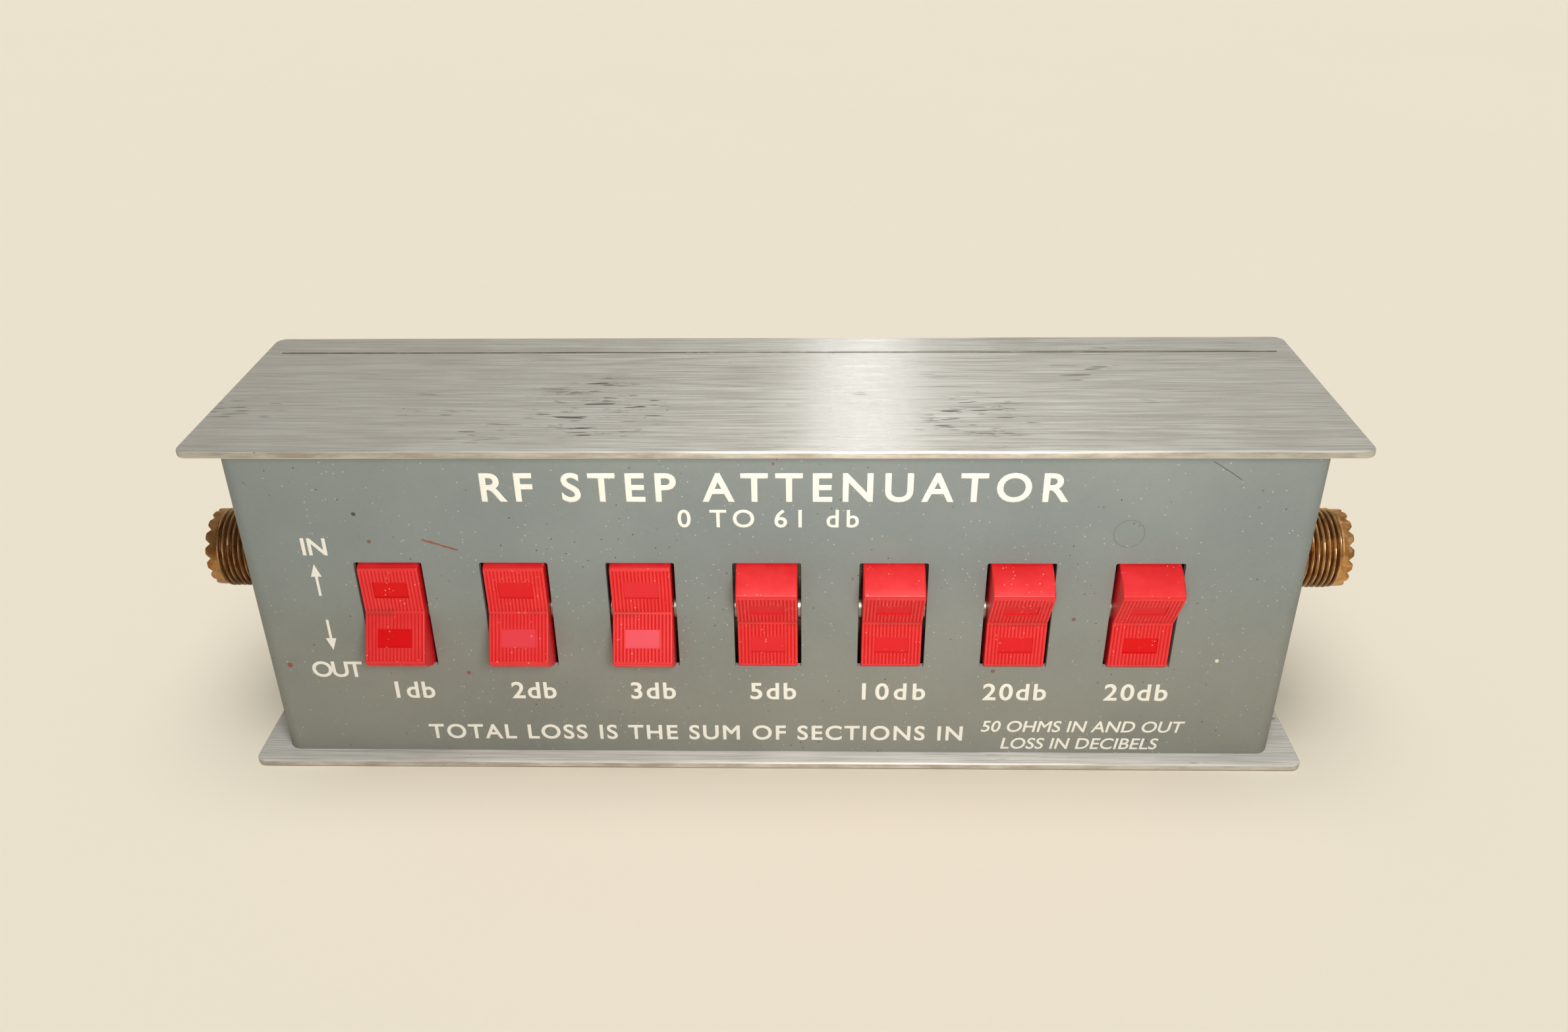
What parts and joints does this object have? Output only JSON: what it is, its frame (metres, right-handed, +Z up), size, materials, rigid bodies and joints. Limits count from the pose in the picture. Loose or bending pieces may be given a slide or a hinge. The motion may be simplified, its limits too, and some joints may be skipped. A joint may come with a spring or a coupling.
{
  "type": "switched step attenuator",
  "caption": "Bench radio-frequency step attenuator: a grey panel with a row of red rocker switches between brushed plates, and a threaded coaxial socket on each end.",
  "frame": {"origin": "centre of the bottom plate's underside", "axes": "+X to the right along the row of switches, +Y away from the front panel, +Z up"},
  "size_m": [0.2244, 0.0537, 0.0698],
  "materials": {
    "panel_paint": "satin grey-green paint, speckled and lightly scratched",
    "brushed_plate": "brushed along the length, satin",
    "rocker_red": "moulded red plastic, ribbed",
    "aged_brass": "tarnished brass",
    "socket_dielectric": "brown moulded dielectric",
    "zinc_steel": "bright zinc plating",
    "tinplate": "tinned sheet",
    "phenolic": "brown laminate",
    "nylon": "natural nylon",
    "tinned_brass": "tinned brass",
    "tinned_copper": "tinned copper wire",
    "resistor_body": "tan lacquer"
  },
  "bodies": {
    "case": {"front_shell": "panel_paint", "top_plate": "brushed_plate", "top_plate_studs": "zinc_steel", "top_plate_nuts": "zinc_steel", "bottom_plate": "brushed_plate", "bottom_plate_screws": "zinc_steel", "rear_panel": "panel_paint", "rear_panel_screws": "zinc_steel", "switch_bracket": "zinc_steel", "panel_standoffs": "zinc_steel", "bracket_screws": "zinc_steel", "frame_rivets": "zinc_steel", "shield_partitions": "tinplate", "terminals": "tinned_brass", "resistors": "resistor_body", "resistor_leads": "tinned_copper", "link_wires": "tinned_copper", "socket_shell_left": "aged_brass", "socket_shell_right": "aged_brass", "socket_insulator_left": "socket_dielectric", "socket_insulator_right": "socket_dielectric", "socket_contact_left": "aged_brass", "socket_contact_right": "aged_brass", "socket_washers": "aged_brass", "socket_nuts": "aged_brass", "switch_frame_1": "zinc_steel", "switch_frame_2": "zinc_steel", "switch_frame_3": "zinc_steel", "switch_frame_4": "zinc_steel", "switch_frame_5": "zinc_steel", "switch_frame_6": "zinc_steel", "switch_frame_7": "zinc_steel", "switch_base_1": "phenolic", "switch_base_2": "phenolic", "switch_base_3": "phenolic", "switch_base_4": "phenolic", "switch_base_5": "phenolic", "switch_base_6": "phenolic", "switch_base_7": "phenolic"},
    "rocker_1": {"rocker_1": "rocker_red"},
    "slider_1": {"slider_1": "nylon", "slider_contacts_1": "tinned_brass"},
    "rocker_2": {"rocker_2": "rocker_red"},
    "slider_2": {"slider_2": "nylon", "slider_contacts_2": "tinned_brass"},
    "rocker_3": {"rocker_3": "rocker_red"},
    "slider_3": {"slider_3": "nylon", "slider_contacts_3": "tinned_brass"},
    "rocker_4": {"rocker_4": "rocker_red"},
    "slider_4": {"slider_4": "nylon", "slider_contacts_4": "tinned_brass"},
    "rocker_5": {"rocker_5": "rocker_red"},
    "slider_5": {"slider_5": "nylon", "slider_contacts_5": "tinned_brass"},
    "rocker_6": {"rocker_6": "rocker_red"},
    "slider_6": {"slider_6": "nylon", "slider_contacts_6": "tinned_brass"},
    "rocker_7": {"rocker_7": "rocker_red"},
    "slider_7": {"slider_7": "nylon", "slider_contacts_7": "tinned_brass"}
  },
  "joints": [
    {"name": "rocker_1_tilt", "type": "hinge", "parent": "case", "child": "rocker_1", "pos_m": [-0.0705, -0.0188, 0.0338], "axis": [1, 0, 0], "range_deg": [0, 28]},
    {"name": "slider_1_travel", "type": "slide", "parent": "case", "child": "slider_1", "axis": [0, 0, 1], "range_m": [0, 0.00313]},
    {"name": "rocker_2_tilt", "type": "hinge", "parent": "case", "child": "rocker_2", "pos_m": [-0.0473, -0.0188, 0.0338], "axis": [1, 0, 0], "range_deg": [0, 28]},
    {"name": "slider_2_travel", "type": "slide", "parent": "case", "child": "slider_2", "axis": [0, 0, 1], "range_m": [0, 0.00313]},
    {"name": "rocker_3_tilt", "type": "hinge", "parent": "case", "child": "rocker_3", "pos_m": [-0.0241, -0.0188, 0.0338], "axis": [1, 0, 0], "range_deg": [0, 28]},
    {"name": "slider_3_travel", "type": "slide", "parent": "case", "child": "slider_3", "axis": [0, 0, 1], "range_m": [0, 0.00313]},
    {"name": "rocker_4_tilt", "type": "hinge", "parent": "case", "child": "rocker_4", "pos_m": [-0.0009, -0.0188, 0.0338], "axis": [1, 0, 0], "range_deg": [-28, 0]},
    {"name": "slider_4_travel", "type": "slide", "parent": "case", "child": "slider_4", "axis": [0, 0, 1], "range_m": [-0.00313, 0]},
    {"name": "rocker_5_tilt", "type": "hinge", "parent": "case", "child": "rocker_5", "pos_m": [0.0223, -0.0188, 0.0338], "axis": [1, 0, 0], "range_deg": [-28, 0]},
    {"name": "slider_5_travel", "type": "slide", "parent": "case", "child": "slider_5", "axis": [0, 0, 1], "range_m": [-0.00313, 0]},
    {"name": "rocker_6_tilt", "type": "hinge", "parent": "case", "child": "rocker_6", "pos_m": [0.0455, -0.0188, 0.0338], "axis": [1, 0, 0], "range_deg": [-28, 0]},
    {"name": "slider_6_travel", "type": "slide", "parent": "case", "child": "slider_6", "axis": [0, 0, 1], "range_m": [-0.00313, 0]},
    {"name": "rocker_7_tilt", "type": "hinge", "parent": "case", "child": "rocker_7", "pos_m": [0.0687, -0.0188, 0.0338], "axis": [1, 0, 0], "range_deg": [-28, 0]},
    {"name": "slider_7_travel", "type": "slide", "parent": "case", "child": "slider_7", "axis": [0, 0, 1], "range_m": [-0.00313, 0]}
  ],
  "couplings": [
    {"joint": "slider_1_travel", "follows": "rocker_1_tilt", "m_per_rad": 0.006386},
    {"joint": "slider_2_travel", "follows": "rocker_2_tilt", "m_per_rad": 0.006386},
    {"joint": "slider_3_travel", "follows": "rocker_3_tilt", "m_per_rad": 0.006386},
    {"joint": "slider_4_travel", "follows": "rocker_4_tilt", "m_per_rad": 0.006386},
    {"joint": "slider_5_travel", "follows": "rocker_5_tilt", "m_per_rad": 0.006386},
    {"joint": "slider_6_travel", "follows": "rocker_6_tilt", "m_per_rad": 0.006386},
    {"joint": "slider_7_travel", "follows": "rocker_7_tilt", "m_per_rad": 0.006386}
  ]
}
